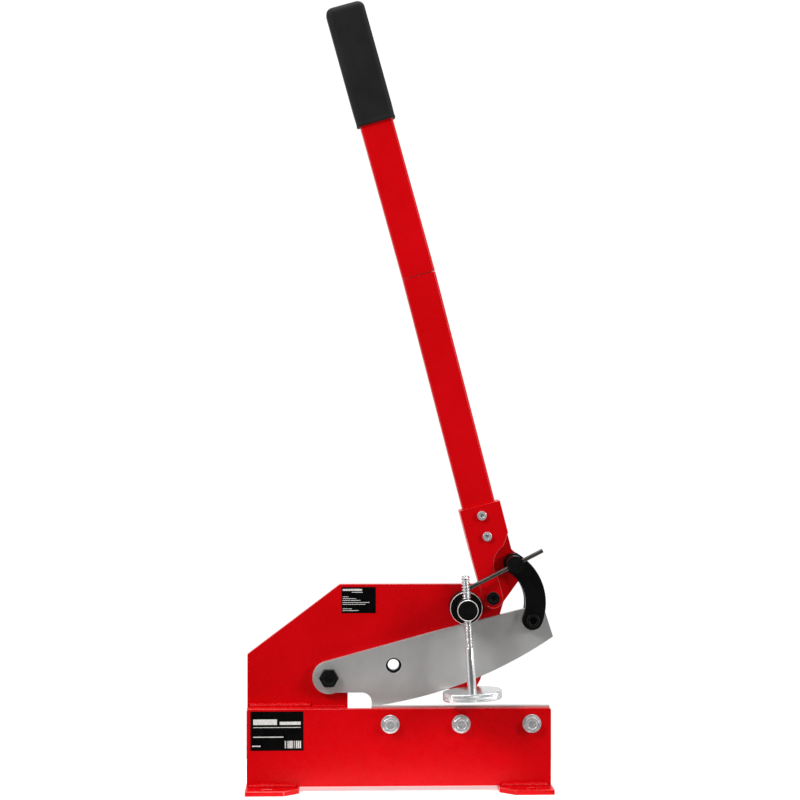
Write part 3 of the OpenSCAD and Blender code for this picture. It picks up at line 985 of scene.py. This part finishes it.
high_pin = middle("lock_screw")
finished(
    rounded_copy("lock_screw", "lock_screw_turned", 0.5 * MM, 2), "lock_screw", "lock_screw",
    blackened,
)
turned_part(
    "link_top_hex_nut",
    nut(flats=24, bore=8.05, height=13),
    (high_pin.x, links_back, high_pin.z),
    "lock_nut", "links", blackened, True,
)
bar_len, bar_below_hole = 120, 77
bar_lean = math.radians(27)
bar_along = Vector((math.cos(bar_lean), 0, math.sin(bar_lean)))
bar_start = Vector((high_pin.x, middle("tommy_bar").y, high_pin.z))
bar_start -= bar_along * bar_below_hole * MM
to_bar = Matrix.Translation(bar_start) @ Matrix.Rotation(math.pi / 2 - bar_lean, 4, "Y")
finished(
    placed(
        turned_mesh(
            "tommy_bar_rod",
            [(0, 0), (2.5, 0), (2.9, 0.3), (3, 0.8), (3, 40), (3, 80), (3, bar_len - 0.8),
             (2.9, bar_len - 0.3), (2.5, bar_len), (0, bar_len)],
            40,
        ),
        to_bar,
    ),
    "tommy_bar", "tommy_bar", bare,
)

# ---- Hold-down boss and stud ----
# A blackened tube boss on the upright carries a swivel stud. The stud's end is chamfered bright
# by the turning tool, and its cross hole is the screw's nut.

stud = middle("hold_down_boss")
boss_obj = turned_part(
    "hold_down_boss_tube",
    [(14.55, 0), (22.0, 0), (22.5, 0.5), (22.5, 34.0), (21.9, 34.6), (15.2, 34.6), (14.55, 33.9)],
    (stud.x, up_lo.y, stud.z),
    "hold_down_boss", "frame", blackened,
    steps=96,
)

# Steel fresh from the turning tool, on the chamfers of the boss and the stud
bright, tree, bsdf, place = new_material("freshly_turned_steel", Metallic=0.8)
mottle(tree, place, 0.004, "#E2E2E0", "#F2F2F0", bsdf.inputs["Base Color"])
mottle(tree, place, 0.0005, 0.25, 0.4, bsdf.inputs["Roughness"])


def bright_rim(obj, front, least_radius):
    """Gives the chamfer round a front face the bright turned material."""
    obj.data.materials.append(bright)
    for face in obj.data.polygons:
        out = math.hypot(face.center.x - stud.x, face.center.z - stud.z)
        slanted = 0.3 < abs(face.normal.y) < 0.95
        if slanted and face.center.y < front + 1.5 * MM and out > least_radius:
            face.material_index = 1


bm = merged_copy("hold_down_stud")
stud_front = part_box("hold_down_stud")[0].y
rim = [e for e in bm.edges if all(v.co.y < stud_front + 0.01 * MM for v in e.verts)]
bmesh.ops.bevel(bm, geom=rim, offset=0.85 * MM, segments=1, affect="EDGES", clamp_overlap=False)
stud_obj = mesh_object("hold_down_swivel_stud", bm, 30)
finished(stud_obj, "hold_down_stud", "hold_down_stud", blackened)
bright_rim(stud_obj, stud_front, 12.5 * MM)
bright_rim(boss_obj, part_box("hold_down_boss")[0].y, 21 * MM)
turned_part(
    "stud_shim",
    washer(outer=15, bore=8.05, thickness=washer_t),
    (stud.x, back + play, stud.z),
    "stud_washer", "hold_down_stud", zinc, True,
)
turned_part(
    "stud_hex_nut",
    nut(flats=24, bore=8, height=13),
    (stud.x, back + play + washer_t * MM, stud.z),
    "stud_nut", "hold_down_stud", blackened, True,
)

# ---- Hold-down screw ----
# A zinc-plated M12 screw, threaded to about half its length and plain below, with a spigot
# that the foot disc is riveted on. The thread is coarse and rolled, at a pitch of 4 mm.

screw_lean = math.radians(3.4)
screw_at = Vector((stud.x, middle("hold_down_screw").y, stud.z))
to_screw = Matrix.Translation(screw_at) @ Matrix.Rotation(-screw_lean, 4, "Y")

# Millimetres along the screw from the stud's axis
thread_top, thread_low, disc_top = 47.0, -53.0, -112.0
screw_r, thread_pitch, rows_per_turn = 6, 4.0, 16


def round_blank(tree, given):
    """A closed cylinder with a fine grid round its side. Returns its mesh, its points' X, Y and
    Z, their angle round Z and their distance from its nearer end."""
    blank = add_node(
        tree,
        "GeometryNodeMeshCylinder",
        {"fill_type": "NGON"},
        {
            "Vertices": given["Around"],
            "Side Segments": given["Rows"],
            "Radius": given["Radius"],
            "Depth": given["Length"],
        },
    )
    place = add_node(tree, "GeometryNodeInputPosition").outputs[0]
    spot = add_node(tree, "ShaderNodeSeparateXYZ", None, {0: place}).outputs
    angle = maths(tree, "ARCTAN2", spot["Y"], spot["X"])
    half_length = maths(tree, "MULTIPLY", given["Length"], 0.5)
    to_end = maths(tree, "SUBTRACT", half_length, maths(tree, "ABSOLUTE", spot["Z"]))
    return blank.outputs["Mesh"], spot, angle, to_end


def pressed_in(tree, given, mesh, spot, share):
    """Moves a blank's points towards its axis by a share of the tree's Depth."""
    level = add_node(tree, "ShaderNodeCombineXYZ", None, {0: spot["X"], 1: spot["Y"]})
    outward = add_node(
        tree, "ShaderNodeVectorMath", {"operation": "NORMALIZE"}, {0: level.outputs[0]}
    )
    inward = maths(tree, "MULTIPLY", maths(tree, "MULTIPLY", share, given["Depth"]), -1.0)
    shift = add_node(
        tree,
        "ShaderNodeVectorMath",
        {"operation": "SCALE"},
        {0: outward.outputs[0], "Scale": inward},
    )
    cut = add_node(
        tree, "GeometryNodeSetPosition", None, {"Geometry": mesh, "Offset": shift.outputs[0]}
    )
    return cut.outputs["Geometry"]


thread_tree, thread_in, given = new_tree(
    "rolled_thread",
    {
        "Radius": "Float",
        "Pitch": "Float",
        "Depth": "Float",
        "Length": "Float",
        "Around": "Int",
        "Rows": "Int",
        "Material": "Material",
    },
)
mesh, spot, angle, to_end = round_blank(thread_tree, given)
turns_up = maths(thread_tree, "DIVIDE", spot["Z"], given["Pitch"])
turns_round = maths(thread_tree, "DIVIDE", angle, 2 * math.pi)
phase = maths(thread_tree, "FRACT", maths(thread_tree, "SUBTRACT", turns_up, turns_round))
flank = maths(thread_tree, "PINGPONG", phase, 0.5)
groove = remapped(thread_tree, flank, (0.08, 0.4), (0.0, 1.0))
run_out = remapped(thread_tree, to_end, (0.0, 1 * MM), (1.0, 0.0))
deeper = maths(thread_tree, "MAXIMUM", groove, run_out)
finish_tree(thread_tree, given, pressed_in(thread_tree, given, mesh, spot, deeper))

thread_len = thread_top - thread_low
thread = placed(
    grown(
        "screw_thread",
        thread_tree,
        thread_in,
        {
            "Radius": screw_r * MM,
            "Pitch": thread_pitch * MM,
            "Depth": 1.7 * MM,
            "Length": thread_len * MM,
            "Around": 40,
            "Rows": int(thread_len / thread_pitch * rows_per_turn),
            "Material": zinc,
        },
    ),
    Matrix.Translation((0, 0, (thread_top + thread_low) / 2 * MM)),
)
shank = turned_mesh(
    "screw_shank",
    [(0, -123.4), (3.6, -123.4), (4, -123), (4, disc_top), (screw_r, disc_top),
     (screw_r, thread_low - 0.6), (5.4, thread_low + 0.4), (0, thread_low + 0.4)],
    64,
)
screw = placed(joined("hold_down_threaded_screw", [thread, shank]), to_screw)
finished(screw, "hold_down_screw", "hold_down_screw", zinc)

# ---- Foot disc ----
# A turned steel disc, zinc plated, with a diamond knurl round its rim so that a hand can spin
# the screw down on the sheet.

disc_d, disc_t = 82, 12
drawn_t = disc_t - 0.05
knurl_pitch = 2.2
teeth = round(math.pi * disc_d / knurl_pitch)

knurl_tree, knurl_in, given = new_tree(
    "knurled_rim",
    {
        "Radius": "Float",
        "Length": "Float",
        "Teeth": "Float",
        "Slant": "Float",
        "Depth": "Float",
        "Around": "Int",
        "Rows": "Int",
        "Material": "Material",
    },
)
mesh, spot, angle, to_end = round_blank(knurl_tree, given)
round_phase = maths(knurl_tree, "MULTIPLY", angle, given["Teeth"])
rise_phase = maths(knurl_tree, "MULTIPLY", spot["Z"], given["Slant"])
cuts = []
for way in ("ADD", "SUBTRACT"):
    crossing = maths(knurl_tree, way, round_phase, rise_phase)
    wave = maths(knurl_tree, "COSINE", crossing)
    cuts.append(remapped(knurl_tree, wave, (0.2, 1.0), (0.0, 1.0)))
chamfer = remapped(knurl_tree, to_end, (0.0, 1.3 * MM), (2.4, 0.0))
deepest = maths(knurl_tree, "MAXIMUM", maths(knurl_tree, "MAXIMUM", *cuts), chamfer)
finish_tree(knurl_tree, given, pressed_in(knurl_tree, given, mesh, spot, deepest))

disc = grown(
    "foot_disc_knurled",
    knurl_tree,
    knurl_in,
    {
        "Radius": disc_d / 2 * MM,
        "Length": drawn_t * MM,
        "Teeth": float(teeth),
        "Slant": 2 * math.pi / (knurl_pitch * MM),
        "Depth": 0.45 * MM,
        "Around": teeth * 6,
        "Rows": 30,
        "Material": zinc,
    },
)
disc.data.polygons.foreach_set("use_smooth", [True] * len(disc.data.polygons))
disc.data.set_sharp_from_angle(angle=math.radians(40))
disc_middle = disc_top - disc_t + drawn_t / 2
placed(disc, to_screw @ Matrix.Translation((0, 0, disc_middle * MM)))
finished(disc, "hold_down_disc", "hold_down_disc", zinc)

# ---- Studio ----
# A small white floor disc in a white room. The room is bright behind the shear and dim in
# front of it. A soft key light stands high at the left, a fill at the right, and a broad light
# hangs above.

floor_paint, tree, bsdf, place = new_material("white_studio_floor", Specular_IOR_Level=0.1)
mottle(tree, place, 0.5, "#F4F4F4", "#FAFAFA", bsdf.inputs["Base Color"])
mottle(tree, place, 0.2, 0.8, 0.9, bsdf.inputs["Roughness"])
bsdf.inputs["Emission Color"].default_value = (1, 1, 1, 1)
bsdf.inputs["Emission Strength"].default_value = 0.5
floor_radius, floor_back = 0.27, 0.1
bm = bmesh.new()
bmesh.ops.create_circle(bm, cap_ends=True, radius=floor_radius, segments=96)
bmesh.ops.translate(bm, verts=bm.verts, vec=(0, floor_back, 0))
floor = mesh_object("studio_floor", bm)
floor.data.materials.append(floor_paint)

world = bpy.data.worlds.new("white_room")
bpy.context.scene.world = world
world.use_nodes = True
world_tree = world.node_tree
room = world_tree.nodes["Background"]
room.inputs["Color"].default_value = (1, 1, 1, 1)
seen = add_node(world_tree, "ShaderNodeLightPath").outputs["Is Camera Ray"]
heading = add_node(world_tree, "ShaderNodeTexCoord").outputs["Generated"]
away = add_node(world_tree, "ShaderNodeSeparateXYZ", None, {0: heading}).outputs["Y"]
backdrop = remapped(world_tree, away, (-0.85, -0.4), (0.1, 0.85))
strength = add_node(
    world_tree, "ShaderNodeMapRange", {"To Max": 1.05}, {"Value": seen, "To Min": backdrop}
)
world_tree.links.new(strength.outputs["Result"], room.inputs["Strength"])

aim = Vector((0.0, 0.0, 0.45))


def softbox(name, at, size, power):
    """A rectangular soft light that points at the middle of the shear."""
    light = bpy.data.lights.new(name, "AREA")
    light.shape = "RECTANGLE"
    light.size, light.size_y = size
    light.energy = power
    obj = bpy.data.objects.new(name, light)
    obj.location = at
    obj.rotation_euler = (aim - Vector(at)).to_track_quat("-Z", "Y").to_euler()
    bpy.context.scene.collection.objects.link(obj)


softbox("key_light", (-2.0, -1.9, 2.3), (0.6, 0.8), 52)
softbox("fill_light", (2.2, -1.5, 1.3), (0.5, 0.9), 28)
softbox("top_light", (0.0, 0.3, 3.4), (1.6, 1.6), 42)

bpy.context.scene.view_settings.view_transform = "Standard"

camera_data = bpy.data.cameras.new("camera")
camera_data.lens = 94.05
camera_data.sensor_width = 36
camera = bpy.data.objects.new("camera", camera_data)
target = Vector((1.8 * MM, 0, 545.7 * MM))
distance = 2935 * MM
yaw = math.radians(2.0)
camera.location = target + Vector((-math.sin(yaw), -math.cos(yaw), 0)) * distance
camera.rotation_euler = (math.pi / 2, 0, -yaw)
bpy.context.scene.collection.objects.link(camera)
bpy.context.scene.camera = camera
